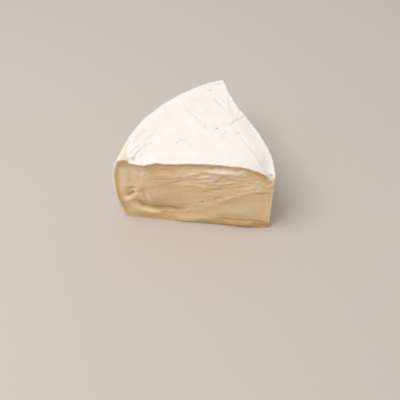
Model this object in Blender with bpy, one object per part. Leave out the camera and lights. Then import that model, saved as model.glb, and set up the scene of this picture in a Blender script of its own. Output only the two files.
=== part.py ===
"""A wedge of soft white-rind cheese, cut from the middle of its wheel to the rim.

The wheel's centre is the wedge's nose, at the right. The front cut faces -Y, the back cut is turned
from it by the wedge's angle, and the rounded rim joins them at the left and behind.
Lengths are in metres, with +Z up and the flat underside on Z = 0.
"""

import math

import bmesh
import bpy
from mathutils import Vector, noise

MM = 0.001

# The wheel that the wedge was cut from
WHEEL_RADIUS = 110 * MM
MIDDLE_HEIGHT = 59.8 * MM
DOME = 0.3 * MM
WEDGE_ANGLE = math.radians(60.9)

# The rim: a wall that bows out, a low crest along the top and a rounded edge above and below
WALL_BOW = 5.9 * MM
WALL_BOW_POWER = 2.6
WALL_WIDEST = 0.52
CREST = 0.9 * MM
CREST_RADIUS = 100.4 * MM
CREST_WIDTH = 10 * MM
EDGE_WIDTH = 6.0 * MM
TOP_EDGE_DROP = 2.3 * MM
FOOT_RISE = 3.2 * MM

# What the knife and the cheese's own weight did
NOSE_DROOP = 10.2 * MM
NOSE_DROOP_REACH = 28.9 * MM
BACK_CUT_BOW = 7.2 * MM
BACK_CUT_BOW_POWER = 0.67
BACK_CUT_FLARE = 8.8 * MM
FLARE_START = 0.66
FLARE_POWER = 1.5
TURNED_EDGE_DROP = 3.3 * MM
TURNED_EDGE_WIDTH = 12 * MM
TURNED_EDGE_REACH = 84 * MM
CUT_SAG = 1.8 * MM
CUT_SAG_WIDTH = 24 * MM
CUT_SAG_START = 30 * MM
CUT_SAG_FULL = 85 * MM
RIND_TAB_DIP = 2.4 * MM
RIND_TAB_AT = 88.5 * MM
RIND_TAB_SIZE = 5.5 * MM

# The cut faces: paste that stands a little behind the rind's cut edge
RIND_LIP = 0.5 * MM
PASTE_RECESS = 0.5 * MM
LIP_WIDTH = 3.2 * MM
QUIET_NOSE = 7 * MM
STREAK_LENGTH = 26 * MM
STREAK_WIDTH = 6.5 * MM
STREAK_RISE = 0.14
STREAK_DEPTH = 0.45 * MM
RIND_SWELL_SIZE = 24 * MM
RIND_SWELL = 0.45 * MM

# Marks on a cut face. A mark is a line of points, each its distance from the nose and its height,
# with the mark's half width and how far it stands out, all in millimetres.
FRONT_MARKS = (
    (((95, 18.5), (90, 15.2), (80, 14.8), (67, 14.3), (60, 16.5)), 4.0, -2.3),
    (((96, 8.5), (80, 8.6)), 5.5, 1.3),
    (((62, 2.0), (40, 0.5), (14, 1.0)), 9.0, 2.4),
    (((34, 8.8), (20, 8.2), (6, 8.4)), 3.0, -1.5),
    (((100.6, 24.2), (97.4, 28.0)), 4.0, -2.2),
    (((94.0, 30.0), (101.5, 18.5)), 3.4, 1.3),
    (((89.8, 29.0), (88.0, 20.0)), 3.2, -1.4),
    (((57, 49.5), (49, 52.4), (24, 54.0)), 3.6, 0.8),
    (((33, 29), (22, 34.5), (14, 38.5), (6, 40.0)), 6.5, 0.7),
    (((64, 42), (50, 45), (38, 44), (26, 47)), 4.5, -0.6),
)
BACK_MARKS = (
    (((20, 12.0), (42, 10.0), (66, 12.5), (80, 11.0)), 4.2, -1.8),
    (((14, 2.0), (50, 0.5), (88, 1.5)), 9.0, 2.0),
    (((88, 40.0), (97, 31.0)), 4.2, -1.6),
    (((30, 36.0), (48, 41.0), (70, 39.0)), 5.0, 0.8),
    (((26, 49.0), (60, 51.5), (84, 50.0)), 3.8, 0.7),
    (((52, 27.0), (74, 24.0)), 5.0, -0.7),
)

# The net of faces: columns along the cuts and round the rim, rows from the base to the top
COLUMNS = 50
ROWS = 28
EDGE_PINCH = 0.42

RIND_WHITE = (0.93, 0.90, 0.85, 1.0)
RIND_ROUGHNESS = 0.85


def clear_scene():
    for leftover in list(bpy.data.objects):
        bpy.data.objects.remove(leftover)


def faded(distance, reach):
    """1 where the distance is nothing, falling smoothly to 0 where it is the reach."""
    nearness = max(0.0, 1.0 - distance / reach)
    return nearness * nearness * (3.0 - 2.0 * nearness)


def pinched(share):
    """Draws evenly spaced shares of 0 to 1 together at both ends, where the edges need more faces."""
    return share - EDGE_PINCH * math.sin(2 * math.pi * share) / (2 * math.pi)


def wall_radius(level):
    """How far out the rim's wall stands at a level from 0, the base, to 1, the top."""
    side = 1.0 - WALL_WIDEST if level > WALL_WIDEST else WALL_WIDEST
    return WHEEL_RADIUS - WALL_BOW * (abs(level - WALL_WIDEST) / side) ** WALL_BOW_POWER


def back_cut_bow(share):
    """How far the back cut bows out at a share of the way to the rim. It flares again near the rim."""
    flared = max(0.0, (share - FLARE_START) / (1.0 - FLARE_START))
    bow = BACK_CUT_BOW * math.sin(math.pi * share**BACK_CUT_BOW_POWER)
    return bow + BACK_CUT_FLARE * flared**FLARE_POWER


def rim_edge(radius):
    """0 over the wheel's flat and 1 at the rim, following a quarter of a round edge."""
    return max(0.0, 1.0 - (WHEEL_RADIUS - radius) / EDGE_WIDTH) ** 2


def top_height(radius, to_back_cut, to_front_cut):
    """Height of the rind's top at a distance from the nose and from both cuts."""
    share = radius / WHEEL_RADIUS
    height = MIDDLE_HEIGHT - DOME * share**2
    height += CREST * faded(abs(radius - CREST_RADIUS), CREST_WIDTH)
    height -= TOP_EDGE_DROP * rim_edge(radius)
    height -= NOSE_DROOP * max(0.0, 1.0 - radius / NOSE_DROOP_REACH) ** 2
    turned = TURNED_EDGE_DROP * faded(to_back_cut, TURNED_EDGE_WIDTH)
    height -= turned * faded(radius, TURNED_EDGE_REACH) ** 0.5
    sagging = 1.0 - faded(max(0.0, radius - CUT_SAG_START), CUT_SAG_FULL - CUT_SAG_START)
    height -= CUT_SAG * sagging * faded(to_front_cut, CUT_SAG_WIDTH)
    tab = math.hypot(radius - RIND_TAB_AT, to_front_cut)
    return height - RIND_TAB_DIP * faded(tab, RIND_TAB_SIZE)


def wheel_point(share, turn, level):
    """The point at a share of the way out, a share of the wedge's angle and a level of the height."""
    radius = share * wall_radius(level)
    flat_radius = share * WHEEL_RADIUS
    opening = WEDGE_ANGLE + back_cut_bow(share) / max(flat_radius, MM)
    to_back_cut = flat_radius * opening * (1.0 - turn)
    to_front_cut = flat_radius * opening * turn
    top = top_height(flat_radius, to_back_cut, to_front_cut)
    foot = FOOT_RISE * rim_edge(flat_radius)
    angle = turn * opening
    return Vector((-radius * math.cos(angle), radius * math.sin(angle), foot + (top - foot) * level))


def to_segment(point, start, end):
    """Distance from a point to the straight line between two others."""
    along = end - start
    share = max(0.0, min(1.0, (point - start).dot(along) / along.length_squared))
    return (point - start - share * along).length


def mark_relief(point, marks):
    """What a cut face's marks add at a point of it. The nearest stretch of each line counts once."""
    total = 0.0
    for line, half_width, stands_out in marks:
        stops = [Vector(stop) * MM for stop in line]
        nearest = min(to_segment(point, a, b) for a, b in zip(stops, stops[1:]))
        total += stands_out * MM * faded(nearest, half_width * MM)
    return total


def streak_relief(along, height, side):
    """Long shallow drag lines that the knife left, rising gently towards the nose."""
    across = (height + STREAK_RISE * along) / STREAK_WIDTH
    return STREAK_DEPTH * noise.noise(Vector((along / STREAK_LENGTH, across, side)))


def cut_relief(along, height, to_rind, marks, side):
    """How far the paste of a cut face stands out from the plane of the cut."""
    lip = faded(to_rind, LIP_WIDTH)
    paste = mark_relief(Vector((along, height)), marks) + streak_relief(along, height, side)
    relief = RIND_LIP * lip + (paste - PASTE_RECESS) * (1.0 - lip)
    return relief * (1.0 - faded(along, QUIET_NOSE))


def rind_relief(point):
    """The gentle unevenness of the rind."""
    return RIND_SWELL * noise.noise(point / RIND_SWELL_SIZE)


def even_block():
    """A prism with three upright sides, its sides in rows and columns and its ends in triangles."""
    block = bmesh.new()
    bmesh.ops.create_cone(block, cap_ends=True, segments=3, radius1=1, radius2=1, depth=1)
    upright = [edge for edge in block.edges if edge.verts[0].co.z != edge.verts[1].co.z]
    bmesh.ops.subdivide_edges(block, edges=upright, cuts=ROWS - 1)
    level = [edge for edge in block.edges if abs(edge.verts[0].co.z - edge.verts[1].co.z) < 1e-6]
    bmesh.ops.subdivide_edges(block, edges=level, cuts=COLUMNS - 1, use_grid_fill=True)
    return block


def corner_shares(point):
    """How much of each of the prism's three corners is in a point, from 0 to 1, adding up to 1."""
    corners = (Vector((0, 1)), Vector((math.sqrt(0.75), -0.5)), Vector((-math.sqrt(0.75), -0.5)))
    return [round((1 + 2 * point.xy.dot(corner)) / 3, 5) for corner in corners]


def shape_vertex(vertex):
    """Moves one point of the block to its place on the wedge, with the relief of its surfaces."""
    nose, at_back, at_front = corner_shares(vertex.co)
    outward = 1.0 - nose
    share = pinched(outward)
    turn = at_back / outward if outward > 0 else 0.0
    level = pinched(vertex.co.z + 0.5)
    point = wheel_point(share, turn, level)
    crown = wheel_point(share, turn, 1.0)
    shift = Vector((0, 0, 0))
    if level > 0.999:
        shift.z += rind_relief(point)
    if nose == 0:
        out = Vector((point.x, point.y, 0)).normalized()
        shift += out * rind_relief(point) * level
    along = point.xy.length
    to_rind = min(crown.z - point.z, point.z, wall_radius(level) - along)
    if at_back == 0:
        shift.y -= cut_relief(along, point.z, to_rind, FRONT_MARKS, 0.0)
    if at_front == 0:
        outside = Vector((math.sin(WEDGE_ANGLE), math.cos(WEDGE_ANGLE), 0))
        shift += outside * cut_relief(along, point.z, to_rind, BACK_MARKS, 9.0)
    vertex.co = point + shift


def centre_on_base(block):
    """Puts the origin under the middle of the wedge, on its underside."""
    for axis in (0, 1):
        places = [vertex.co[axis] for vertex in block.verts]
        middle = (min(places) + max(places)) / 2
        for vertex in block.verts:
            vertex.co[axis] -= middle


def flatten_base(block):
    """Makes one flat face of the underside, inside the rim's rounded foot."""
    base = [face for face in block.faces if all(vertex.co.z == 0 for vertex in face.verts)]
    inner = [edge for edge in block.edges if sum(face in base for face in edge.link_faces) == 2]
    bmesh.ops.dissolve_edges(block, edges=inner, use_verts=False)


def rind_material():
    material = bpy.data.materials.new("white rind")
    material.use_nodes = True
    shader = material.node_tree.nodes["Principled BSDF"]
    shader.inputs["Base Color"].default_value = RIND_WHITE
    shader.inputs["Roughness"].default_value = RIND_ROUGHNESS
    return material


def make_wedge():
    block = even_block()
    for vertex in block.verts:
        shape_vertex(vertex)
    centre_on_base(block)
    flatten_base(block)
    bmesh.ops.recalc_face_normals(block, faces=block.faces)
    mesh = bpy.data.meshes.new("cheese_wedge")
    block.to_mesh(mesh)
    block.free()
    mesh.materials.append(rind_material())
    mesh.shade_smooth()
    mesh.set_sharp_from_angle(angle=math.radians(50))
    return bpy.data.objects.new("cheese_wedge", mesh)


def main():
    clear_scene()
    collection = bpy.data.collections.new("Cheese wedge")
    bpy.context.scene.collection.children.link(collection)
    collection.objects.link(make_wedge())


main()
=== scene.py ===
# %% [markdown]
# # A wedge of soft white-rind cheese
#
# The object is one piece of food: a wedge cut from the middle of a flat round cheese to its rim.
# Its outside is a thin felt of white mould. Its two cut faces show the ripe paste, which is pale
# beige, darker and more orange just under the rind, and dragged and torn a little by the knife.
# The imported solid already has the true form, so this lesson keeps that form and gives it a finer
# skin: first the relief that a knife and a soft rind leave, then the two finishes, then the light.

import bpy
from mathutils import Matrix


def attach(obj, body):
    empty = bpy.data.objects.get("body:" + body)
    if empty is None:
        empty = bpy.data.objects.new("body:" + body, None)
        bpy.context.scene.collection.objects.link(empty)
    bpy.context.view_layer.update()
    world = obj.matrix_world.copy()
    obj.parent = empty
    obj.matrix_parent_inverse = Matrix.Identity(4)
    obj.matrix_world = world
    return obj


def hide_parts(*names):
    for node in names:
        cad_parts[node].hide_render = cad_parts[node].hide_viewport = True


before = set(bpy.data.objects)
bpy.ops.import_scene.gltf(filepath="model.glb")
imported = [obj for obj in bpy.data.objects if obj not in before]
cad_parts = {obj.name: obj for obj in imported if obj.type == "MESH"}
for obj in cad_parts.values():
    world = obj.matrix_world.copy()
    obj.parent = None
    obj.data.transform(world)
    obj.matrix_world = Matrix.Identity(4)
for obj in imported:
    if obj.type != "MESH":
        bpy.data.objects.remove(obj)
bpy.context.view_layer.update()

# %% The modules and the unit
import math

import bpy
import numpy as np
from mathutils import Vector, noise
from mathutils.bvhtree import BVHTree

MM = 0.001
NODE = "cheese_wedge"

# %% [markdown]
# ## The body of the wedge
#
# A wedge could be bent out of a cylinder again, but the solid is the form that everything else in
# the library relies on, so a copy of it is the safest start. Its mesh is loose triangles of about
# 2 mm, so the copy's doubles are merged first. A voxel remesh then gives even faces of about two
# thirds of a millimetre everywhere, which is fine enough to carry the marks of a knife.

# %% Copy the solid and merge its doubles
def select_only(piece):
    """Makes one object the only one selected, and the active one."""
    bpy.ops.object.select_all(action="DESELECT")
    piece.select_set(True)
    bpy.context.view_layer.objects.active = piece


wedge = bpy.data.objects.new("cut_cheese_wedge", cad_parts[NODE].data.copy())
bpy.context.scene.collection.objects.link(wedge)
select_only(wedge)
wedge.data.materials.clear()
bpy.ops.object.mode_set(mode="EDIT")
bpy.ops.mesh.select_all(action="SELECT")
bpy.ops.mesh.remove_doubles(threshold=0.001 * MM)
bpy.ops.object.mode_set(mode="OBJECT")
print("merged copy:", len(wedge.data.vertices), "vertices,", len(wedge.data.polygons), "faces")

# %% [markdown]
# ## Which skin is where
#
# The relief and the finish differ between the rind and the cuts, so each face is told apart by the
# way it points. The front cut points to -Y. The back cut points away from the other side, at the
# wedge's angle. All that is left is rind. The nose is the upright corner where the cuts meet.

# %% Find the nose and tell the cuts from the rind
WEDGE_ANGLE = math.radians(60.9)
FRONT_OUT = Vector((0, -1, 0))
BACK_OUT = Vector((math.sin(WEDGE_ANGLE), math.cos(WEDGE_ANGLE), 0))
TOWARDS_NOSE = Vector((0.3, -1, 0))
RIND, FRONT, BACK = 0, 1, 2
UNDERSIDE = 0.1 * MM
NOSE_REACH, NOSE_TOP = 30 * MM, 40 * MM
STEEP_RIND, LEVEL_FACE, FACES_THE_CUT = 0.5, 0.9, 0.55


def skin_of(face):
    """Which skin a face belongs to, from the way it points. Near the nose the rind is steep."""
    towards_front, towards_back = face.normal.dot(FRONT_OUT), face.normal.dot(BACK_OUT)
    if (face.center.xy - nose.xy).length < NOSE_REACH:
        most_level = STEEP_RIND if face.center.z > NOSE_TOP else LEVEL_FACE
        upright = -LEVEL_FACE < face.normal.z < most_level
    else:
        upright = max(towards_front, towards_back) > FACES_THE_CUT
    if not upright:
        return RIND
    return FRONT if towards_front > towards_back else BACK


nose = max((vertex.co for vertex in wedge.data.vertices if vertex.co.z < UNDERSIDE),
           key=lambda place: place.dot(TOWARDS_NOSE)).copy()
solid_skins = [skin_of(face) for face in wedge.data.polygons]
print("nose at", tuple(round(value, 5) for value in nose),
      "faces of rind, front and back:", [solid_skins.count(skin) for skin in (RIND, FRONT, BACK)])

# %% Search trees of the solid's surface
def tree_of(*wanted):
    """A search tree of the solid's faces that have one of the wanted skins."""
    chosen = [face.vertices[:] for face, skin in zip(wedge.data.polygons, solid_skins) if skin in wanted]
    return BVHTree.FromPolygons([vertex.co for vertex in wedge.data.vertices], chosen)


solid_tree, rind_tree, cut_tree = tree_of(RIND, FRONT, BACK), tree_of(RIND), tree_of(FRONT, BACK)
print("search trees of the whole solid, its rind and its cuts")

# %% Remesh the body finely
VOXEL = 0.66 * MM

remesh = wedge.modifiers.new("even faces", "REMESH")
remesh.mode = "VOXEL"
remesh.voxel_size = VOXEL
bpy.ops.object.modifier_apply(modifier=remesh.name)
print("even faces:", len(wedge.data.polygons))

# %% Places as an array, and back
def places_of(piece):
    """The places of a piece's vertices, as rows of x, y and z."""
    flat = np.empty(len(piece.data.vertices) * 3)
    piece.data.vertices.foreach_get("co", flat)
    return flat.reshape(-1, 3)


def put_places(piece, places):
    """Moves a piece's vertices to the given places."""
    piece.data.vertices.foreach_set("co", places.ravel())
    piece.data.update()


# %% Measure each vertex against the solid
def measure(places):
    """Each place's skin, and its distance in metres from the cuts if it is rind, or else from the rind."""
    skins, gaps = [], []
    for place in map(Vector, places):
        skin = solid_skins[solid_tree.find_nearest(place)[2]]
        skins.append(skin)
        gaps.append((cut_tree if skin == RIND else rind_tree).find_nearest(place)[3])
    return np.array(skins), np.array(gaps)


skins, edge_gaps = measure(places_of(wedge))
print("vertices of each skin:", [int((skins == skin).sum()) for skin in (RIND, FRONT, BACK)],
      "deepest paste", round(edge_gaps[skins != RIND].max() / MM, 1), "mm")

# %% [markdown]
# ## Softening the facets
#
# The solid's facets are still there under the fine mesh. A Smooth modifier takes them away, but it
# would also round the edge between rind and cut, which a knife leaves crisp. A vertex group that
# fades towards those edges, and to nothing at the nose, holds it back there.

# %% Two soft steps and a vertex group
WEIGHT_STEPS = 50


def bell(distance, reach):
    """1 at no distance, falling smoothly to 0 at the reach."""
    nearness = np.clip(1 - np.abs(distance) / reach, 0, 1)
    return nearness * nearness * (3 - 2 * nearness)


def rise(value, low, high):
    """0 up to the low value, rising smoothly to 1 at the high one."""
    share = np.clip((value - low) / (high - low), 0, 1)
    return share * share * (3 - 2 * share)


def weigh(piece, name, weights):
    """Gives a piece a vertex group with one weight for each vertex."""
    group = piece.vertex_groups.new(name=name)
    steps = np.round(np.clip(weights, 0, 1) * WEIGHT_STEPS).astype(int)
    for step in range(1, WEIGHT_STEPS + 1):
        chosen = np.flatnonzero(steps == step)
        if len(chosen):
            group.add(chosen.tolist(), step / WEIGHT_STEPS, "REPLACE")


# %% Smooth all but the cut edges
SMOOTH_ROUNDS = 10
HELD_EDGE, CRISP_EDGE = 0.3 * MM, 1.6 * MM
EDGE_SOFTNESS = 0.25

nose_gaps = np.linalg.norm(places_of(wedge)[:, :2] - np.array(nose.xy), axis=1)
edge_share = EDGE_SOFTNESS + (1 - EDGE_SOFTNESS) * rise(edge_gaps, HELD_EDGE, CRISP_EDGE)
weigh(wedge, "facets", np.minimum(edge_share, rise(nose_gaps, HELD_EDGE, CRISP_EDGE)))
smooth = wedge.modifiers.new("soft facets", "SMOOTH")
smooth.factor = 0.5
smooth.iterations = SMOOTH_ROUNDS
smooth.vertex_group = "facets"
bpy.ops.object.modifier_apply(modifier=smooth.name)
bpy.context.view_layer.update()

# %% [markdown]
# ## What a place on a cut is called
#
# Every mark on a cut is easiest to describe as someone with a ruler would: so many millimetres from
# the nose, and so many up from the underside. On the rind's top it is millimetres to the left of the
# nose and millimetres behind the front cut. These two pairs of numbers are worked out once. A little
# noise is then added to them, so that no line drawn through them is a ruled one. Vector noise takes
# its offsets from a seed. It is set here, because each run would draw other lines without it.

# %% Places in millimetres along the cuts and on the rind
WANDER_SIZE = 3.4
WANDER_REACH = 0.8
WANDER_LAYER = 4.2
WANDER_SEED = 4

noise.seed_set(WANDER_SEED)


def wandering(marks):
    """The same pairs of numbers, each moved a little by noise."""
    shifts = [noise.noise_vector(Vector((a, b, WANDER_LAYER)))[:2] for a, b in marks / WANDER_SIZE]
    return marks + WANDER_REACH * np.array(shifts)


places = places_of(wedge)
from_nose = np.linalg.norm(places[:, :2] - np.array(nose.xy), axis=1) / MM
height = places[:, 2] / MM
on_cut = np.stack([from_nose, height], axis=1)
on_rind = np.stack([(nose.x - places[:, 0]) / MM, (places[:, 1] - nose.y) / MM], axis=1)
cut_marks, rind_marks = wandering(on_cut), wandering(on_rind)
under_rind = np.where(skins == RIND, 0.0, edge_gaps / MM)
print("a cut reaches", round(from_nose[skins != RIND].max(), 1), "mm from the nose")

# %% [markdown]
# ## Marks as lines
#
# A furrow, a fold or a ridge is a short line of points with a width, a height and a tone. Each
# vertex near the line is lifted or sunk by the height. The tone says how much darker (below 0) or
# paler (above 0) the surface is there. It is partly the cheese's own colour, since a furrow in ripe
# cheese is browner than its ridges, and partly painted light: painted shade in furrows, pits, creases
# and along the foot, and painted highlights on ridges and ledges. A ledge is a line with only its
# lower side lifted, which is how torn paste catches light. A slide is a line too, near which the whole
# surface, with all its marks, moves up or down. Where a change comes in softly, a pair of numbers
# says where it starts and where it is complete.

# %% Distance to a line of points
END_FADE = 0.45
FAR_AWAY = 1e9


def near_line(marks, line):
    """How far each place is from a line, on which side, and 0 at the line's ends to 1 in its middle."""
    stops = np.array(line, float)
    lengths = np.linalg.norm(np.diff(stops, axis=0), axis=1)
    run = np.concatenate([[0], np.cumsum(lengths)])
    best, side, along = np.full(len(marks), FAR_AWAY), np.zeros(len(marks)), np.zeros(len(marks))
    for index, (start, end) in enumerate(zip(stops, stops[1:])):
        way = end - start
        share = np.clip((marks - start) @ way / (way @ way), 0, 1)
        offset = marks - start - share[:, None] * way
        gap = np.linalg.norm(offset, axis=1)
        closer = gap < best
        best[closer] = gap[closer]
        side[closer] = (way[0] * offset[closer, 1] - way[1] * offset[closer, 0]) / lengths[index]
        along[closer] = (run[index] + share[closer] * lengths[index]) / run[-1]
    return best, side, np.clip(4 * along * (1 - along), 0, 1) ** END_FADE


# %% Marks, specks and slides
END_WIDTH = 0.5
LEDGE_RISES = (-0.4, 1.6)

relief, tone = np.zeros(len(places)), np.zeros(len(places))


def add_marks(chosen, marks, table, low_side_only=False):
    """Adds each mark's height to the relief and its tone to the tone, where the skin is chosen."""
    for line, width, lift, shade in table:
        gap, side, middle = near_line(marks[chosen], line)
        share = bell(gap, width * (END_WIDTH + (1 - END_WIDTH) * middle)) * middle
        if low_side_only:
            share *= rise(-side, *LEDGE_RISES)
        relief[chosen] += lift * share
        tone[chosen] += shade * share


def add_specks(chosen, marks, specks, sink=0.0):
    """Adds each speck's tone where the skin is chosen, and sinks the specks by a share of their tone."""
    for spot, size, shade in specks:
        share = shade * bell(np.linalg.norm(marks[chosen] - np.array(spot), axis=1), size)
        tone[chosen] += share
        relief[chosen] += sink * share


def slide(chosen, marks, table):
    """How far each place slides up or down within its own cut, with all that is marked on it."""
    shift = np.zeros(len(places))
    for line, width, rise_by in table:
        gap, _, middle = near_line(marks[chosen], line)
        shift[chosen] += rise_by * bell(gap, width) * middle
    return shift


# %% [markdown]
# ## The torn front cut
#
# The knife dragged the soft paste towards the nose. It left a long furrow low on the left with a lit
# ledge under it, a folded flap with two small pits near the rim, pale ridges just under the top
# rind, a band of rough streaks that climbs towards the nose, and a bulging foot. The marks' tones
# paint shade into the furrow, the pits and the grooves, and highlights onto the ridges and the flap.

# %% Marks low on the front cut, near the rim
RIM_END_MARKS = (
    (((96.2, 20), (93.0, 15.8), (89.4, 13.4), (86, 12.8), (78, 13.4), (68, 13.0), (64, 13.2), (57, 15)),
     2.2, -1.2, -0.50),
    (((91.5, 14.4), (86.0, 13.2), (77.0, 13.0)), 1.8, -0.25, -0.34),
    (((101.4, 30.0), (99.8, 31.2), (97.0, 31.4), (94.0, 31.9)), 1.2, -0.9, -0.75),
    (((99.0, 29.4), (93.6, 30.4)), 1.2, 0.35, 0.55),
    (((95.6, 28.6), (98.6, 25.8), (101.6, 22.8)), 1.8, -0.50, -0.95),
    (((98.4, 27.6), (94.2, 28.2)), 0.9, -0.4, -0.30),
    (((92.8, 28.2), (95.6, 25.6), (98.6, 22.0), (101.8, 18.0), (103.6, 14.4)), 2.8, 0.24, 0.34),
    (((96.2, 27.0), (92.8, 26.4)), 1.1, 0.3, 0.50),
    (((94.6, 20.6), (92.0, 18.0), (89.6, 17.0)), 2.2, -0.3, -0.30),
    (((91.8, 27.4), (91.1, 24.4)), 1.1, 0.5, 0.60),
    (((90.4, 30.2), (89.8, 27.0), (89.1, 23.4)), 0.9, -0.45, -0.32),
    (((88.2, 28.0), (87.0, 23.5), (85.6, 17.0)), 1.4, 0.6, 0.45),
    (((85.5, 25.2), (85.1, 19.4)), 0.8, 0.3, 0.30),
    (((100.4, 15.2), (96.6, 12.8), (93.0, 11.2)), 3.0, 0.35, 0.36),
    (((95.0, 12.4), (88.2, 10.8), (83.5, 10.0), (77.0, 10.2)), 4.2, 0.36, 0.32),
    # Tone only: painted shade along the foot near the rim, where it turns under.
    (((103, 4), (94, 2), (84, 2)), 5.0, 0.0, -0.30),
    (((84, 11.0), (68, 11.0), (54, 11.6)), 4.5, -0.15, -0.40),
    (((100.7, 50.0), (101.6, 42.0), (102.1, 31.0)), 3.4, 0.2, 0.42),
    (((103.0, 51.0), (104.6, 41.0), (104.2, 28.0), (101.2, 15.0)), 3.8, 0.0, 0.30),
    (((93.6, 51.5), (94.4, 46.0), (95.6, 36.0)), 2.8, 0.25, 0.30),
    (((88.7, 49.0), (89.7, 36.5)), 1.6, 0.2, 0.18),
    (((97.8, 50.5), (97.6, 36.0)), 1.6, -0.15, -0.12),
)
print("marks near the rim:", len(RIM_END_MARKS))

# %% Marks in the middle of the front cut and near the nose
NOSE_END_MARKS = (
    (((78.0, 46.0), (71.6, 47.3)), 1.3, 0.30, 0.34),
    (((81.6, 43.2), (77.6, 44.6), (72.4, 46.0)), 1.2, -0.3, -0.20),
    (((76, 38.0), (66, 40.2), (60, 40.6)), 1.3, -0.25, -0.15),
    (((48.5, 52.0), (40.0, 52.8), (30.0, 53.0), (18.0, 52.4)), 2.6, 0.65, 0.10),
    (((47.5, 54.0), (40.0, 54.3), (30.0, 54.4), (19.0, 54.0)), 2.3, 0.0, 0.75),
    (((46.5, 51.0), (43.0, 51.6), (38.0, 52.0)), 0.9, -0.35, -0.40),
    (((51.5, 46.2), (46.6, 47.2), (41.5, 48.2)), 1.9, 0.50, 0.10),
    (((51.0, 47.6), (46.4, 48.4), (41.8, 49.4)), 1.5, 0.0, 0.75),
    (((57.5, 48.6), (53.5, 50.2), (49.5, 51.8)), 1.3, 0.30, 0.60),
    (((53.0, 48.2), (49.6, 49.2), (46.6, 50.2)), 0.9, -0.35, -0.38),
    (((60.8, 44.1), (51.4, 45.3)), 1.0, -0.4, -0.28),
    (((57.0, 43.2), (49.4, 44.4)), 1.0, -0.3, -0.40),
    (((49.6, 43.0), (40.4, 43.8)), 1.0, 0.30, 0.45),
    (((53.0, 38.2), (45.0, 39.0)), 2.5, 0.20, 0.35),
    (((43.6, 39.2), (32.4, 40.2)), 0.9, -0.30, -0.30),
    (((45.0, 34.4), (38.0, 37.0), (30.4, 39.2)), 1.1, -0.35, -0.36),
    (((44.4, 35.3), (34.6, 36.3), (24.8, 37.9)), 1.1, -0.20, -0.12),
    (((43.0, 33.7), (33.0, 34.5)), 1.0, 0.25, 0.2),
    (((39.6, 41.6), (36.2, 46.0), (33.4, 49.4), (28.4, 51.8)), 2.0, -0.50, -0.46),
    (((36.8, 41.4), (33.2, 46.0)), 1.4, 0.35, 0.40),
    (((34.0, 42.8), (26.8, 44.6)), 1.1, 0.40, 0.60),
    (((31.8, 46.2), (26.8, 47.0)), 0.9, -0.30, -0.36),
    (((33.0, 41.8), (24.0, 42.4)), 0.9, -0.3, -0.26),
    (((24.4, 46.4), (17.6, 47.4)), 1.7, -0.25, -0.36),
    (((41.2, 27.0), (34.8, 28.6)), 2.0, -0.25, -0.40),
    (((34.0, 28.4), (28.2, 30.2)), 1.4, 0.25, 0.50),
    (((38.0, 24.0), (32.2, 25.8)), 2.2, 0.25, 0.38),
    (((25.6, 35.0), (20.4, 36.2)), 0.9, -0.30, -0.32),
    (((19.8, 37.0), (16.0, 37.8)), 0.9, -0.30, -0.36),
    (((44.0, 18.4), (36.0, 20.8)), 3.2, 0.10, 0.26),
    (((57.0, 13.6), (49.4, 14.8)), 1.4, 0.20, 0.36),
    (((44.0, 11.6), (38.0, 12.6)), 2.5, 0.10, 0.30),
    (((19.6, 38.6), (15.6, 40.8), (10.4, 43.4)), 2.3, 0.32, 0.50),
    (((11.6, 40.8), (6.8, 41.8)), 2.1, 0.10, 0.36),
    (((13.6, 46.2), (9.0, 47.4)), 1.9, 0.20, 0.36),
    (((11.6, 54.2), (6.4, 51.4)), 1.9, 0.0, -0.30),
    (((9.4, 48.4), (5.2, 46.4), (0.8, 44.6)), 1.9, -0.22, 0.04),
    (((6.0, 42.4), (3.4, 43.0), (-0.8, 44.6)), 1.7, 0.5, 0.80),
    (((13.0, 34.9), (7.2, 35.7), (1.6, 37.4)), 1.7, -0.5, -0.52),
    (((49.2, 22.0), (46.9, 22.1)), 1.2, -1.0, -0.80),
    (((49.2, 19.6), (46.6, 19.5)), 1.4, 0.15, 0.30),
    (((30, 18.5), (16, 19.2)), 1.1, -0.15, -0.12),
    (((4.3, 34.0), (2.3, 23.2), (1.6, 12.6)), 1.1, 0.2, 0.34),
    (((6.0, 29), (5.0, 20), (5.2, 12)), 0.9, -0.2, -0.15),
    (((3.7, 16.6), (3.0, 15.0)), 0.9, 0.1, 0.45),
    (((0.0, 56), (0.0, 2)), 0.9, 0.0, 0.85),
    # The next two make the rough upper band paler, partly paler paste and partly painted highlight.
    (((68, 49), (52, 51), (36, 51), (18, 50)), 6.5, 0.0, 0.52),
    (((64, 45.5), (48, 46), (34, 47.5)), 5.0, 0.15, 0.42),
    (((104, 44), (96, 46), (84, 44)), 11.0, 0.0, 0.32),
    (((60, 30), (50, 24), (38, 22)), 8.0, 0.0, 0.10),
    (((36, 15), (22, 22), (6, 27)), 10.0, 0.0, 0.08),
    # Tone only: the last two paint shade along the foot, where it turns under.
    (((90, 0), (60, -1), (20, 1), (-20, 1)), 8.0, 0.0, -0.52),
    (((52, 4.0), (30, 4.3), (10, 4.2), (-14, 4.0)), 4.2, 0.0, -0.74),
)
print("marks from the middle to the nose:", len(NOSE_END_MARKS))
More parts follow.
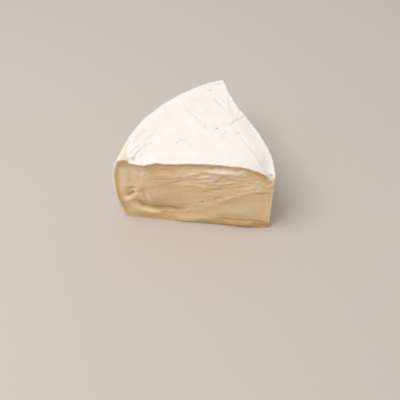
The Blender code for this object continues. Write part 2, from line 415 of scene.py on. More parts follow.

# %% [markdown]
# Two ledges run along the cut: the one under the furrow, and a soft step that drops from the nose
# down to the left. Their tone paints a highlight along each ledge. The bulging foot is set off by two
# thin grooves; the second is a dark line of tone only, partly browner paste and partly painted shade.
# The solid's own furrow and foot lie a millimetre or two too high, so three slides take them, with
# their marks, down to their places.

# %% Ledges, grooves and slides on the front cut
FRONT_LEDGES = (
    (((66, 13.0), (72, 13.0), (78, 13.4), (86, 12.8), (89.4, 13.4), (95, 16.4)), 7.0, 0.46, 0.10),
    (((-6, 43), (6, 40.6), (14, 38.4), (18.3, 37.0), (21.8, 35.2), (25.3, 32.6), (30.9, 29.8),
      (35, 26.2), (48, 18)), 5.4, 0.52, 0.19),
)
LOW_GROOVES = (
    (((-8, 4.8), (9.9, 6.0), (19.4, 6.6), (40, 5.6)), 2.2, -0.60, -0.15),
    (((-8, 6.8), (9.9, 7.4), (19.4, 8.0), (42, 7.6)), 1.4, 0.0, -0.85),
)
FRONT_SLIDES = (
    (((106, 28), (96, 24), (90, 15), (80, 13), (66, 13), (44, 16)), 9.5, -2.1),
    (((-8, 7.6), (10, 7.8), (20, 7.4), (44, 5.8)), 5.5, -1.1),
    (((14, 8), (30, 7.5), (48, 7)), 6.0, -1.4),
)
SLIDES_UNDER = (1, 5)

front = skins == FRONT
for front_marks in (RIM_END_MARKS, NOSE_END_MARKS, LOW_GROOVES):
    add_marks(front, cut_marks, front_marks)
add_marks(front, cut_marks, FRONT_LEDGES, low_side_only=True)
slid = slide(front, on_cut, FRONT_SLIDES) * rise(under_rind, *SLIDES_UNDER)
print("front marks reach from", round(relief.min(), 2), "to", round(relief.max(), 2), "mm")

# %% [markdown]
# ## The back cut
#
# The other side was cut in the same stroke, so it has the same kinds of mark in its own places, with
# the same painted shade in its grooves, pits and along its foot, and painted highlights on its ridges.

# %% Marks on the back cut
BACK_MARKS = (
    (((20, 13.2), (34, 11.6), (47, 12.2), (60, 13.6), (74, 12.2)), 1.6, -1.1, -0.42),
    (((80, 41.4), (85, 40.6), (90, 37.2), (93, 32.4), (97.6, 27.6)), 1.5, -0.9, -0.50),
    (((86, 26.4), (91, 25.2), (95, 21.8), (99, 20.6)), 1.3, -0.6, -0.35),
    (((88, 33.0), (84, 29.4), (81, 24.8)), 1.2, -0.4, -0.22),
    (((27, 38.0), (40, 41.0), (55, 41.6)), 1.1, -0.4, -0.25),
    (((57, 46.8), (73, 48.6)), 1.0, -0.4, -0.25),
    (((63.6, 27.6), (65.9, 27.4)), 1.2, -0.9, -0.70),
    (((39.0, 29.0), (41.2, 29.3)), 1.1, -0.6, -0.50),
    (((84, 44.0), (92, 40.4), (95.4, 35.6), (99.6, 30.6)), 2.0, 0.5, 0.40),
    (((78, 33.6), (86, 22.4), (92, 14.0)), 2.6, 0.35, 0.22),
    (((29, 50.4), (48, 52.8), (71, 52.2)), 1.4, 0.5, 0.32),
    (((71, 22.2), (85, 18.8)), 1.5, 0.4, 0.35),
    (((8, 41.4), (21, 45.8)), 1.5, 0.4, 0.40),
    (((88, 12), (78, 7.5), (66, 8)), 3.0, 0.8, 0.40),
    (((93, 50), (95, 38)), 2.8, 0.3, 0.30),
    (((0.0, 56), (0.0, 2)), 0.9, 0.0, 0.70),
    (((70, 50), (52, 51), (30, 50), (14, 47)), 6.5, 0.0, 0.35),
    (((104, 40), (96, 44), (84, 42)), 11.0, 0.0, 0.22),
    # Tone only: painted shade along the foot, where it turns under.
    (((110, 0), (60, -1), (20, 1), (-20, 1)), 8.0, 0.0, -0.55),
)
BACK_LEDGES = (
    (((20, 13.2), (34, 11.6), (47, 12.2), (60, 13.6), (74, 12.2)), 6.0, 0.9, 0.10),
    (((38, 33.0), (54, 36.4), (70, 37.0), (84, 33.4)), 4.5, 0.45, 0.15),
)

back = skins == BACK
add_marks(back, cut_marks, BACK_MARKS)
add_marks(back, cut_marks, BACK_LEDGES, low_side_only=True)
print("with the back's marks", round(relief.min(), 2), "to", round(relief.max(), 2), "mm")

# %% [markdown]
# ## Drag streaks
#
# Between the large marks the blade left fine streaks, some ten millimetres long and one or two
# wide, that rise towards the nose. Noise that is stretched along the streaks gives them. They are
# strong in the rough upper band and nearly gone below it, where the paste closed up smooth. Near the
# rim the blade entered, and the waves there stand upright instead. A broad swell and fine crumbs lie
# under all of them. Each kind of noise is read from a layer of its own, so that no two are alike.

# %% Stretched noise on the cuts
# The tones make raised streaks, waves and swells paler and sunk ones darker: partly the paste's own colour,
# partly painted light and shade.
STREAK_SIZES = ((9.0, 2.0, 0.25), (4.6, 1.2, 0.18))
STREAK_RISE, STREAK_TONE = 0.16, 0.25
WAVE_LENGTH, WAVE_WIDTH, WAVE_DEPTH, WAVE_TONE = 15.0, 4.2, 0.20, 0.14
SWELL_LENGTH, SWELL_WIDTH, SWELL_DEPTH, SWELL_TONE = 24.0, 9.0, 0.40, 0.25
CRUMB_SIZE, CRUMB_STRETCH, CRUMB_DEPTH = 2.1, 1.5, 0.17
QUIET_SHARE = 0.25
ROUGH_BELOW, ROUGH_ABOVE, ROUGH_ENDS = 2, 4, (78, 92)
ROUGH_FOOT = ((0, 44), (10, 41), (18, 38), (25, 33), (31, 30), (38, 26), (46, 29), (60, 36), (85, 40),
              (104, 40))
WAVES_START, WAVES_END, WAVES_FOOT = (78, 90), (101, 106), (24, 32)
FRONT_LAYER, BACK_LAYER = 1.5, 7.5
STREAK_STEP, WAVE_STEP, SWELL_STEP, CRUMB_STEP = 20, 2, 3, 4


def stretched_noise(marks, length, width, slope, layer):
    """Noise from -1 to 1 that is long along the cut and narrow across it."""
    along = marks[:, 0] / length
    across = (marks[:, 1] + slope * marks[:, 0]) / width
    return np.array([noise.noise(Vector((a, b, layer))) for a, b in zip(along, across)])


rough_from = np.interp(from_nose, *zip(*ROUGH_FOOT))
rough = rise(height, rough_from - ROUGH_BELOW, rough_from + ROUGH_ABOVE)
rough *= 1 - rise(from_nose, *ROUGH_ENDS)
rough = QUIET_SHARE + (1 - QUIET_SHARE) * rough
upright = rise(from_nose, *WAVES_START) * (1 - rise(from_nose, *WAVES_END)) * rise(height, *WAVES_FOOT)
for layer, chosen in ((FRONT_LAYER, front), (BACK_LAYER, back)):
    marks = cut_marks[chosen]
    for number, (length, width, depth) in enumerate(STREAK_SIZES):
        streak = stretched_noise(marks, length, width, STREAK_RISE, layer + STREAK_STEP * number)
        relief[chosen] += depth * rough[chosen] * streak
        tone[chosen] += STREAK_TONE * rough[chosen] * streak
    wave = stretched_noise(marks, WAVE_WIDTH, WAVE_LENGTH, 0, layer + WAVE_STEP)
    relief[chosen] += WAVE_DEPTH * upright[chosen] * wave
    tone[chosen] += WAVE_TONE * upright[chosen] * wave
    swell = stretched_noise(marks, SWELL_LENGTH, SWELL_WIDTH, STREAK_RISE, layer + SWELL_STEP)
    relief[chosen] += SWELL_DEPTH * swell
    tone[chosen] += SWELL_TONE * swell
    crumbs = stretched_noise(marks, CRUMB_SIZE * CRUMB_STRETCH, CRUMB_SIZE, 0, layer + CRUMB_STEP)
    relief[chosen] += CRUMB_DEPTH * crumbs
print("tone from", round(tone.min(), 2), "to", round(tone.max(), 2))

# %% [markdown]
# ## The edge of the rind
#
# The rind is a firmer skin than the paste. Where it is cut it stands a little proud with a ragged
# lip, and the paste just inside sinks back and goes darker. The lip and the hollow both follow the
# depth under the rind, with noise along the edge so that neither is an even line. The edge itself
# also wavers up and down a little, and near the rim's corner the knife pulled a tab of rind down over
# the paste. Both skins have to move together there. The front edge's true line is given as how far
# it stands above the solid's own edge, at distances from the nose. The rim's corner stands out a
# little past the solid as well, by an amount for each height.

# %% Lip, hollow and line of the rind's edge
RAGGED_SIZES = ((5.5, 0.7), (2.0, 0.6))
LIP_DEPTH, LIP_OUT, LIP_MEAN, LIP_RAGGED = 1.5, 0.42, 0.7, 1.2
HOLLOW_AT, HOLLOW_WIDTH, HOLLOW_DEPTH, HOLLOW_MEAN, HOLLOW_RAGGED = 2.5, 1.8, 0.72, 0.8, 1.0
LOW_HOLLOW, HOLLOW_FROM = -0.35, (42, 50)
RAGGED_LAYER, WAVER_LAYER = 1.7, 8.3
CALM_NOSE, HELD_OUTLINE = (0.6, 6.0), (0.0, 0.5)
WAVER_SIZE, WAVER, WAVER_REACH, WAVER_FROM = 2.6, 0.42, 2.6, (36, 46)
SOFT_REACH, SOFT_STEPS, SHARP_REACH = 9.0, (-4, -2, 0, 2, 4), 4.0
FRONT_STRIP, CORNER_STRIP, CORNER_FROM = (6, 12), (4, 14), (96, 105)
FRONT_EDGE = ((0, 5.0), (1, 4.9), (4, 2.9), (7, 1.6), (15, 1.0), (22, 1.5), (30, 1.3), (40, 1.8),
              (57, 1.8), (66, 0.9), (74, 0.8), (79, 1.1), (84.5, 1.2), (87.2, -1.6), (88.4, -3.2),
              (89.8, -2.7), (95, -3.0), (97.4, -2.4), (98.4, 0.0), (99.4, 1.0), (103, 1.5), (105, 1.0),
              (108, 0.0))
RIM_CORNER = ((0, 0.2), (10, 0.6), (30, 0.5), (38, 0.7), (48, 1.2), (54, 1.4), (60, 1.0))

ragged = sum(share * np.array([noise.noise(Vector((a / size, b / size, RAGGED_LAYER))) for a, b in on_cut])
             for size, share in RAGGED_SIZES)
cuts = front | back
nose_calm = rise(from_nose, *CALM_NOSE)
lip = LIP_OUT * (LIP_MEAN + LIP_RAGGED * ragged) * bell(under_rind, LIP_DEPTH)
hollow = HOLLOW_DEPTH * (HOLLOW_MEAN + HOLLOW_RAGGED * ragged) * bell(under_rind - HOLLOW_AT, HOLLOW_WIDTH)
hollow *= LOW_HOLLOW + (1 - LOW_HOLLOW) * rise(height, *HOLLOW_FROM)
relief[cuts] += (lip - hollow)[cuts]
relief[cuts] *= (nose_calm * rise(under_rind, *HELD_OUTLINE))[cuts]
waver = np.array([noise.noise(Vector((a / WAVER_SIZE, 0.0, WAVER_LAYER))) for a in from_nose])
waver *= WAVER * bell(edge_gaps / MM, WAVER_REACH) * rise(height, *WAVER_FROM) * nose_calm
sharp_line = np.interp(from_nose, *zip(*FRONT_EDGE))
soft_line = np.mean([np.interp(from_nose + step, *zip(*FRONT_EDGE)) for step in SOFT_STEPS], axis=0)
edge_line = soft_line * bell(edge_gaps / MM, SOFT_REACH)
edge_line += (sharp_line - soft_line) * bell(edge_gaps / MM, SHARP_REACH)
waver += edge_line * (1 - rise(on_rind[:, 1], *FRONT_STRIP)) * rise(height, *WAVER_FROM)
bulge = np.interp(height, *zip(*RIM_CORNER)) * rise(from_nose, *CORNER_FROM)
bulge *= 1 - rise(on_rind[:, 1], *CORNER_STRIP)
print("paste relief", round(relief[cuts].min(), 2), "to", round(relief[cuts].max(), 2), "mm")

# %% [markdown]
# ## Creases in the rind
#
# The white rind is a soft skin. It creased where the corner was pressed, folded once near the back
# cut, and shows a thin crease along the shoulder where it turns down over the bowed side, and soft
# folds near the far corner. Grey shade is painted into the creases and into a few broad patches.
# Small grey specks are old pin marks and dust, and the rim's corner is rubbed bare to ivory.

# %% Marks on the rind's top
RIND_MARKS = (
    (((94.3, 1.6), (93.6, 5.2), (91.4, 9.0), (90.4, 11.6), (88.8, 13.6), (86.6, 15.4)), 1.6, -0.42, -0.32),
    (((92.6, 1.8), (91.4, 5.4), (89.4, 9.2), (88.0, 11.6)), 1.8, 0.30, 0.0),
    (((98.8, 5.0), (95.8, 9.0), (93.9, 12.2), (91.8, 15.4)), 1.6, -0.38, -0.26),
    (((96.2, 4.6), (94.0, 8.4), (91.8, 12.4)), 1.6, 0.25, 0.0),
    (((100.4, 8.0), (97.6, 12.4), (95.6, 16.0)), 1.4, -0.22, -0.14),
    (((90.2, 18.4), (86.6, 23.2), (84.2, 27.0), (82.0, 31.4)), 1.7, -0.22, -0.12),
    (((98.0, 14.5), (96.0, 19.0), (93.0, 24.6)), 2.8, -0.28, -0.20),
    (((93.8, 24), (91.8, 29)), 3.2, -0.10, -0.14),
    (((34.2, 39.8), (29.2, 46.8), (25.4, 51.4), (21.6, 57.0)), 1.6, -0.50, -0.26),
    (((35.8, 41.2), (31.4, 47.2), (27.6, 51.8)), 1.9, 0.45, 0.04),
    (((47.6, 41.0), (37.0, 40.6)), 1.2, -0.22, 0.10),
    (((46.0, 45.6), (36.6, 45.4)), 1.2, -0.20, 0.10),
    (((46.4, 38.8), (41.0, 40.2), (35.0, 42.0)), 1.4, 0.35, 0.14),
    (((26.9, 32.4), (22.4, 26.0), (16.9, 18.4), (11.0, 9.6), (6.4, 2.6)), 1.3, -0.20, -0.18),
    (((27.0, 36.0), (20.8, 27.0), (14.8, 18.6), (9.0, 10.2)), 2.2, 0.20, 0.0),
    (((28.6, 34.0), (25.8, 30.8)), 2.6, -0.18, -0.20),
    (((20, 22), (13, 14), (7, 6)), 3.0, 0.0, -0.06),
    (((66.6, 61.0), (59.4, 51.2), (54.2, 46.4), (48.6, 42.6)), 2.1, 0.20, 0.0),
    (((68.3, 59.9), (61.1, 50.0), (55.7, 44.7), (49.4, 40.5)), 1.6, -0.22, -0.14),
    (((68.6, 18.2), (64.6, 22.4), (60.6, 24.2)), 1.3, -0.24, -0.18),
    (((82, 36), (74, 33.4), (66, 35)), 2.2, 0.22, 0.0),
    (((53, 53), (47.5, 57)), 3.2, -0.15, -0.10),
    (((48.9, 71.0), (43.4, 64.9), (37.9, 58.0)), 1.8, -0.34, -0.18),
    (((46.2, 72.0), (41.0, 65.9), (35.6, 59.4)), 1.9, 0.38, 0.0),
    (((36.6, 72.0), (33.6, 60.0), (31.5, 51.4)), 2.6, -0.30, -0.16),
    (((33.4, 72.0), (30.6, 61.0), (28.6, 53.0)), 2.6, 0.22, 0.0),
    (((44, 62), (38, 70), (35, 80)), 2.4, 0.25, 0.0),
    (((52, 84), (44, 86), (38, 90)), 2.0, -0.25, -0.12),
    (((24, 62), (28, 72), (34, 84)), 4.5, -0.35, -0.14),
    (((18, 44), (22, 54), (26, 64)), 4.0, -0.30, -0.12),
    (((95.3, 20), (96.0, 26)), 4.0, 0.0, -0.12),
    (((90.6, 26), (91.4, 31)), 3.0, 0.0, -0.10),
    (((99.6, -14), (100.4, 2), (101.2, 16)), 2.6, 0.0, 0.50),
    (((99.8, -20), (101.0, 4), (102.6, 24)), 5.0, 0.0, 0.34),
    (((34, 44), (39, 44)), 5.0, 0.0, 0.12),
)
RIND_SPECKS = (
    ((96.0, 3.2), 1.5, -0.90), ((94.2, 4.0), 1.0, -0.35), ((85.2, 16.8), 1.2, -0.45),
    ((83.6, 18.2), 1.0, -0.35), ((41.9, 36.8), 1.5, -1.0), ((50.4, 39.0), 1.4, -0.42),
    ((50.2, 36.6), 1.2, -0.34), ((45.2, 42.8), 1.2, -0.22), ((35.8, 31.8), 1.3, -0.42),
    ((35.4, 34.8), 1.2, -0.30), ((35.8, 27.0), 1.3, -0.52), ((26.5, 33.8), 2.4, -0.20),
    ((67.6, 19.2), 1.2, -0.30), ((2.0, 2.4), 1.6, -0.95), ((8.2, 10.2), 0.9, -0.25),
    ((50.4, 77.6), 2.0, -0.32), ((89.1, 15.4), 1.0, -0.30), ((78.0, 42.0), 1.0, -0.20),
    ((61.0, 12.0), 0.8, -0.16), ((24.0, 14.0), 0.8, -0.16),
)
SPECK_SINK = 0.5
TOP_FROM = 40

top = (skins == RIND) & (height > TOP_FROM)
add_marks(top, rind_marks, RIND_MARKS)
add_specks(top, rind_marks, RIND_SPECKS, SPECK_SINK)
print("rind relief", round(relief[top].min(), 2), "to", round(relief[top].max(), 2), "mm")

# %% [markdown]
# The rim is the part that stood in the mould hoop. It has a few soft upright dents from handling, a
# long shallow crease round it, and the same small specks. Grey shade is painted into the dents and
# the crease, and the upper rim is tinted towards the bare ivory, which there also stands for the shade
# on the rim's side. Its places are millimetres round the rim from the front cut, and the height.

# %% Marks on the rim
RIM_MARKS = (
    (((6, 23), (22, 21), (44, 24), (66, 22), (92, 25)), 2.2, -0.30, -0.10),
    (((10, 27), (30, 26), (50, 28)), 3.0, 0.30, 0.0),
    (((24, 44), (25, 34), (23, 26)), 2.0, -0.30, -0.14),
    (((27, 43), (28.4, 33)), 2.4, 0.30, 0.0),
    (((57, 40), (60, 31), (59, 24)), 2.0, -0.28, -0.12),
    (((80, 36), (77, 27), (78, 17)), 2.4, -0.30, -0.12),
    (((40, 14), (52, 12), (63, 15)), 2.4, -0.28, -0.10),
    (((92, 44), (99, 38)), 2.0, -0.25, -0.12),
    (((14, 12), (17, 8)), 4.0, 0.0, 0.30),
    (((70, 8), (80, 5), (92, 6)), 4.0, 0.0, 0.25),
    (((46, 38), (50, 35)), 5.0, 0.0, -0.12),
    (((34, 16), (37, 10)), 4.0, 0.0, -0.12),
)
RIM_SPECKS = (
    ((18, 36), 1.0, -0.40), ((33, 30), 1.1, -0.30), ((35, 28.4), 0.9, -0.30), ((52, 18), 1.2, -0.40),
    ((68, 33), 1.0, -0.30), ((88, 22), 1.1, -0.40), ((90, 23.2), 0.9, -0.25), ((73, 12), 1.0, -0.30),
)
RIM_BARE_AND_SHADE, BARE_FROM = 0.18, (22, 46)
RIM_RADIUS, RIM_FROM, RIM_FOOT, RIM_TOP = 110, 102, 2, 55

rim = (skins == RIND) & (from_nose > RIM_FROM) & (height > RIM_FOOT) & (height < RIM_TOP)
round_rim = RIM_RADIUS * np.arctan2(places[:, 1] - nose.y, nose.x - places[:, 0])
rim_marks = wandering(np.stack([round_rim, height], axis=1))
add_marks(rim, rim_marks, RIM_MARKS)
add_specks(rim, rim_marks, RIM_SPECKS)
# Painted shade: the upper rim is tinted towards the darkened bare ivory, partly rubbed rind and partly shade
# on its side.
tone[rim] += RIM_BARE_AND_SHADE * rise(height[rim], *BARE_FROM)
print("the rim runs", round(round_rim[rim].max(), 1), "mm round")

# %% Move the vertices by their relief
HELD_RIND = (0.0, 2.5)


def outward(piece, chosen_skins):
    """The way each vertex is moved: straight out of its cut, or along the rind's own normal."""
    flat = np.empty(len(piece.data.vertices) * 3)
    piece.data.vertices.foreach_get("normal", flat)
    ways = flat.reshape(-1, 3)
    ways[chosen_skins == FRONT] = FRONT_OUT
    ways[chosen_skins == BACK] = BACK_OUT
    return ways


relief[skins == RIND] *= rise(edge_gaps / MM, *HELD_RIND)[skins == RIND]
places += outward(wedge, skins) * relief[:, None] * MM
places[:, 0] -= bulge * MM
places[:, 2] = np.maximum(places[:, 2] + (waver + slid) * MM, 0)
put_places(wedge, places)
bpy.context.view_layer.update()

# %% [markdown]
# ## The felt of the mould
#
# Close up the mould is a dry felt, soft bumps a few millimetres wide that overlap like clouds. A
# Displace modifier with a cloud texture gives that all over the rind at once, held back by a vertex
# group at the underside, which has to stay flat.

# %% Felt bumps on the rind
FELT_BUMPS = ((11.0, 0.60), (3.0, 0.22))
FELT_FROM_FLOOR, FELT_FROM_EDGE = (0.2, 3.0), (0.0, 2.0)


def displace(piece, name, size, strength, group):
    """Lifts and sinks a piece's surface by cloudy noise of a size and strength in millimetres."""
    texture = bpy.data.textures.new(name, "CLOUDS")
    texture.noise_scale = size * MM
    texture.noise_depth = 1
    modifier = piece.modifiers.new(name, "DISPLACE")
    modifier.texture = texture
    modifier.texture_coords = "LOCAL"
    modifier.strength = strength * MM
    modifier.mid_level = 0.5
    modifier.vertex_group = group
    bpy.ops.object.modifier_apply(modifier=name)


select_only(wedge)
felted = rise(height, *FELT_FROM_FLOOR) * rise(edge_gaps / MM, *FELT_FROM_EDGE)
weigh(wedge, "felt", np.where(skins == RIND, felted, 0))
for number, (size, strength) in enumerate(FELT_BUMPS):
    displace(wedge, f"felt {number}", size, strength, "felt")
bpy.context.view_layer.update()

# %% [markdown]
# ## What the finish needs to know
#
# The colours follow the form: how deep the paste lies under the rind, and how dark or pale its marks
# are. Each of these is stored on the mesh as a named attribute, which the materials read. An
# attribute moves with the piece. Where the cheese stood on its base the cut edge of the rind is
# pressed thin, so the depths there are stretched to make the pale edge narrower.

# %% Keep the depth and the tone on the mesh
def store(piece, name, values):
    """Keeps one number for each vertex on the mesh, under a name that a material can read."""
    attribute = piece.data.attributes.new(name, "FLOAT", "POINT")
    attribute.data.foreach_set("value", np.asarray(values, np.float32))


PRESSED_THIN, PRESSED_UP_TO = 1.2, (2, 13)

pressed = 1 + PRESSED_THIN * (1 - rise(height, *PRESSED_UP_TO))
store(wedge, "under_rind", under_rind * pressed)
# The darker and paler tones carry painted shade and painted highlights as well as the cheese's own browner,
# greyer and paler parts.
store(wedge, "darker", np.clip(-tone, 0, 1))
store(wedge, "paler", np.clip(tone, 0, 1))
print("vertices with a tone:", int((np.abs(tone) > 0.1).sum()))

# %% Give each face its skin
faces = wedge.data.polygons
face_skins = skins[np.array([face.vertices[0] for face in faces])]
print("faces of rind and of paste:", int((face_skins == RIND).sum()), int((face_skins != RIND).sum()))

# %% [markdown]
# ## Two finishes
#
# Colours are written as the hex values that a colour picker shows, and turned to the linear values
# that the renderer works in. One small helper adds a node with its settings and links.

# %% Colour and node helpers
def linear(hex_colour, alpha=1.0):
    """The linear colour of an sRGB hex value such as "#fbf6ee"."""
    parts = [int(hex_colour[start:start + 2], 16) / 255 for start in (1, 3, 5)]
    return (*[part / 12.92 if part <= 0.04045 else ((part + 0.055) / 1.055) ** 2.4 for part in parts], alpha)


def add_node(tree, kind, values=None, links=None, stops=None, **settings):
    """Adds a node: its settings, its input values, its incoming links and, on a ramp, its colour stops."""
    made = tree.nodes.new(kind)
    for name, value in settings.items():
        setattr(made, name, value)
    sockets = {socket.name: socket for socket in made.inputs if socket.enabled}
    for name, value in (values or {}).items():
        (sockets[name] if name in sockets else made.inputs[name]).default_value = value
    for name, output in (links or {}).items():
        tree.links.new(output, sockets[name] if name in sockets else made.inputs[name])
    for index, (place, colour) in enumerate(stops or ()):
        elements = made.color_ramp.elements
        stop = elements[index] if index < len(elements) else elements.new(place)
        stop.position, stop.color = place, colour
    return made


def new_material(name, **values):
    """A material whose shader has these constant values, with its node tree and shader."""
    material = bpy.data.materials.new(name)
    material.use_nodes = True
    shader = material.node_tree.nodes["Principled BSDF"]
    for socket, value in values.items():
        shader.inputs[socket.replace("_", " ")].default_value = value
    return material, material.node_tree, shader


# %% [markdown]
# ### The bloomy rind
#
# White mould grown on soft cheese: a dry, matt felt that scatters light and has no gloss. Its white
# is warm, a little more ivory where it was rubbed thin, and grey in the specks, with shade painted
# grey into the creases. The bare ivory is darkened so that it also stands for the shade on the rim's
# side. The felt's real fibres are too fine to show, so its bump is drawn at nearly a millimetre.

# %% Material for the rind
MOULD_WHITE, MOULD_IVORY, MOULD_GREY_AND_SHADE, MOULD_BARE_AND_SHADE = (
    linear(hex_colour) for hex_colour in ("#f2eae4", "#eee6de", "#a09d9b", "#dfcfac"))
MOTTLE_SIZE = 10 * MM
IVORY_UP_TO, WHITE_FROM = 0.35, 0.62
FELT_SIZE, FELT_HEIGHT = 0.9 * MM, 0.10 * MM

rind, tree, shader = new_material(
    "bloomy white mould felt", Roughness=0.9, IOR=1.4, Sheen_Weight=0.15, Sheen_Roughness=0.6,
    Subsurface_Weight=0.3, Subsurface_Radius=(1.0, 0.7, 0.45), Subsurface_Scale=1.2 * MM)
where = add_node(tree, "ShaderNodeTexCoord").outputs["Object"]
mottle = add_node(tree, "ShaderNodeTexNoise", {"Scale": 1 / MOTTLE_SIZE, "Detail": 5.0, "Roughness": 0.55},
                  {"Vector": where})
mottled = add_node(tree, "ShaderNodeValToRGB", links={"Fac": mottle.outputs["Fac"]},
                   stops=((IVORY_UP_TO, MOULD_IVORY), (WHITE_FROM, MOULD_WHITE)))
darker = add_node(tree, "ShaderNodeAttribute", attribute_name="darker")
paler = add_node(tree, "ShaderNodeAttribute", attribute_name="paler")
# The paler tone mixes in the bare ivory, which also paints shade on the rim's side.
bare_and_shaded = add_node(tree, "ShaderNodeMix", {"B": MOULD_BARE_AND_SHADE},
                {"Factor": paler.outputs["Fac"], "A": mottled.outputs["Color"]}, data_type="RGBA")
# The darker tone mixes in grey: the specks, and painted shade in the creases.
greyed_and_shaded = add_node(tree, "ShaderNodeMix", {"B": MOULD_GREY_AND_SHADE},
                  {"Factor": darker.outputs["Fac"], "A": bare_and_shaded.outputs["Result"]}, data_type="RGBA")
tree.links.new(greyed_and_shaded.outputs["Result"], shader.inputs["Base Color"])
felt = add_node(tree, "ShaderNodeTexNoise", {"Scale": 1 / FELT_SIZE, "Detail": 3.0}, {"Vector": where})
bump = add_node(tree, "ShaderNodeBump", {"Strength": 0.5, "Distance": FELT_HEIGHT},
                {"Height": felt.outputs["Fac"]})
tree.links.new(bump.outputs["Normal"], shader.inputs["Normal"])
print("made", rind.name)

# %% [markdown]
# ### The ripe paste
#
# Soft cow's milk paste, cut with a knife. It is moist and a little translucent, so light goes a few
# millimetres in and comes back warmer. From the rind inwards it runs through the rind's own pale
# edge, a darker orange layer where the mould has ripened it, and the pale beige middle. The curd's
# real grain is finer than shows here, so its bump is drawn at nearly a millimetre as well.

# %% Material for the paste
LAYER_DEPTH = 12.0
PASTE_LAYERS = ((0.0, "#fbf1e4"), (1.3, "#f8e8d2"), (1.8, "#efd4b0"), (2.3, "#dcb483"), (3.4, "#deb582"),
                (5.0, "#e4c08e"), (7.5, "#e7c999"), (12.0, "#e7ca9d"))
# The brown is partly browner paste and partly painted shade; the pale is partly paler paste and partly
# painted highlight.
PASTE_PALE_AND_HIGHLIGHT, PASTE_BROWN_AND_SHADE = linear("#fce9d2"), linear("#b4905a")
RIPENING_SIZE = 6 * MM
THIN_LAYER, THICK_LAYER = 0.7, 1.3
MOIST, DRY = 0.42, 0.62
GRAIN_SIZE, GRAIN_HEIGHT = 0.8 * MM, 0.10 * MM

paste, tree, shader = new_material(
    "ripe soft paste cut with a knife", IOR=1.45, Subsurface_Weight=0.5,
    Subsurface_Radius=(1.0, 0.5, 0.2), Subsurface_Scale=2.0 * MM)
where = add_node(tree, "ShaderNodeTexCoord").outputs["Object"]
depth = add_node(tree, "ShaderNodeAttribute", attribute_name="under_rind")
wander = add_node(tree, "ShaderNodeTexNoise", {"Scale": 1 / RIPENING_SIZE, "Detail": 3.0}, {"Vector": where})
stretch = add_node(tree, "ShaderNodeMapRange",
                   {"To Min": THIN_LAYER / LAYER_DEPTH, "To Max": THICK_LAYER / LAYER_DEPTH},
                   {"Value": wander.outputs["Fac"]})
layered = add_node(tree, "ShaderNodeMath", links={0: depth.outputs["Fac"], 1: stretch.outputs["Result"]},
                   operation="MULTIPLY")
layers = add_node(tree, "ShaderNodeValToRGB", links={"Fac": layered.outputs[0]},
                  stops=[(deep / LAYER_DEPTH, linear(hex_colour)) for deep, hex_colour in PASTE_LAYERS])
darker = add_node(tree, "ShaderNodeAttribute", attribute_name="darker")
paler = add_node(tree, "ShaderNodeAttribute", attribute_name="paler")
# The darker tone mixes in the brown of painted shade and browner paste, the paler tone the pale of painted
# highlight and paler paste.
browned_and_shaded = add_node(tree, "ShaderNodeMix", {"B": PASTE_BROWN_AND_SHADE},
                   {"Factor": darker.outputs["Fac"], "A": layers.outputs["Color"]}, data_type="RGBA")
paled_and_highlighted = add_node(tree, "ShaderNodeMix", {"B": PASTE_PALE_AND_HIGHLIGHT},
                 {"Factor": paler.outputs["Fac"], "A": browned_and_shaded.outputs["Result"]}, data_type="RGBA")
tree.links.new(paled_and_highlighted.outputs["Result"], shader.inputs["Base Color"])
moist = add_node(tree, "ShaderNodeMapRange", {"To Min": MOIST, "To Max": DRY},
                 {"Value": wander.outputs["Fac"]})
tree.links.new(moist.outputs["Result"], shader.inputs["Roughness"])
grain = add_node(tree, "ShaderNodeTexNoise", {"Scale": 1 / GRAIN_SIZE, "Detail": 3.0}, {"Vector": where})
bump = add_node(tree, "ShaderNodeBump", {"Strength": 0.35, "Distance": GRAIN_HEIGHT},
                {"Height": grain.outputs["Fac"]})
tree.links.new(bump.outputs["Normal"], shader.inputs["Normal"])
print("made", paste.name)

# %% Put the finishes on
SHARP_ANGLE = math.radians(75)

wedge.data.materials.append(rind)
wedge.data.materials.append(paste)
faces.foreach_set("material_index", (face_skins != RIND).astype(np.int32))
select_only(wedge)
bpy.ops.object.shade_smooth()
wedge.data.set_sharp_from_angle(angle=SHARP_ANGLE)
for group in list(wedge.vertex_groups):
    wedge.vertex_groups.remove(group)

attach(wedge, "root")
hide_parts(NODE)
print("dressed", wedge.name)

# %% [markdown]
# ## The floor, the light and the camera
#
# The wedge stands on a plain pale floor under one large soft light from above, with a bright
# even room round it. The camera looks down at the front cut from a little to its right.

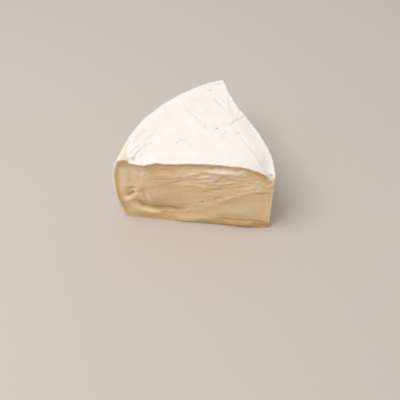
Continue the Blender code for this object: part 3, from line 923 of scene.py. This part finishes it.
# %% The floor
FLOOR_COLOUR = linear("#c7bdb4")
FLOOR_SIZE = 8

bpy.ops.mesh.primitive_plane_add(size=FLOOR_SIZE)
floor = bpy.context.object
floor.name = "pale floor"
floor_paint, tree, shader = new_material("matt floor paint", Roughness=0.8)
shader.inputs["Base Color"].default_value = FLOOR_COLOUR
floor.data.materials.append(floor_paint)
print("floor", FLOOR_SIZE, "m wide")

# %% The light
LIGHT_PLACE, LIGHT_TARGET = Vector((-0.40, -0.28, 1.07)), Vector((0, 0, 0.03))
LIGHT_SIZE, LIGHT_POWER = 0.7, 8.25
ROOM_LIGHT = 0.59

light = bpy.data.lights.new("overhead softbox", "AREA")
light.size, light.energy = LIGHT_SIZE, LIGHT_POWER
softbox = bpy.data.objects.new("overhead softbox", light)
softbox.location = LIGHT_PLACE
softbox.rotation_euler = (LIGHT_PLACE - LIGHT_TARGET).to_track_quat("Z", "Y").to_euler()
bpy.context.scene.collection.objects.link(softbox)

world = bpy.data.worlds.new("bright room")
bpy.context.scene.world = world
world.use_nodes = True
background = world.node_tree.nodes["Background"]
background.inputs["Color"].default_value = (1, 1, 1, 1)
background.inputs["Strength"].default_value = ROOM_LIGHT
print("lit by", LIGHT_POWER, "W")

# %% The camera
AZIMUTH, ELEVATION = math.radians(6.23), math.radians(48.45)
DISTANCE = 0.426
TARGET = nose + Vector((-0.0501, 0.0041, 0.020))
LENS, SENSOR = 54, 36

back_off = Vector((math.sin(AZIMUTH) * math.cos(ELEVATION), -math.cos(AZIMUTH) * math.cos(ELEVATION),
                   math.sin(ELEVATION)))
camera = bpy.data.objects.new("camera", bpy.data.cameras.new("camera"))
camera.data.lens, camera.data.sensor_width = LENS, SENSOR
camera.data.clip_start = 0.01
camera.location = TARGET + DISTANCE * back_off
camera.rotation_euler = back_off.to_track_quat("Z", "Y").to_euler()
bpy.context.scene.collection.objects.link(camera)
bpy.context.scene.camera = camera
bpy.context.scene.view_settings.view_transform = "Standard"
print("camera at", tuple(round(value, 3) for value in camera.location))
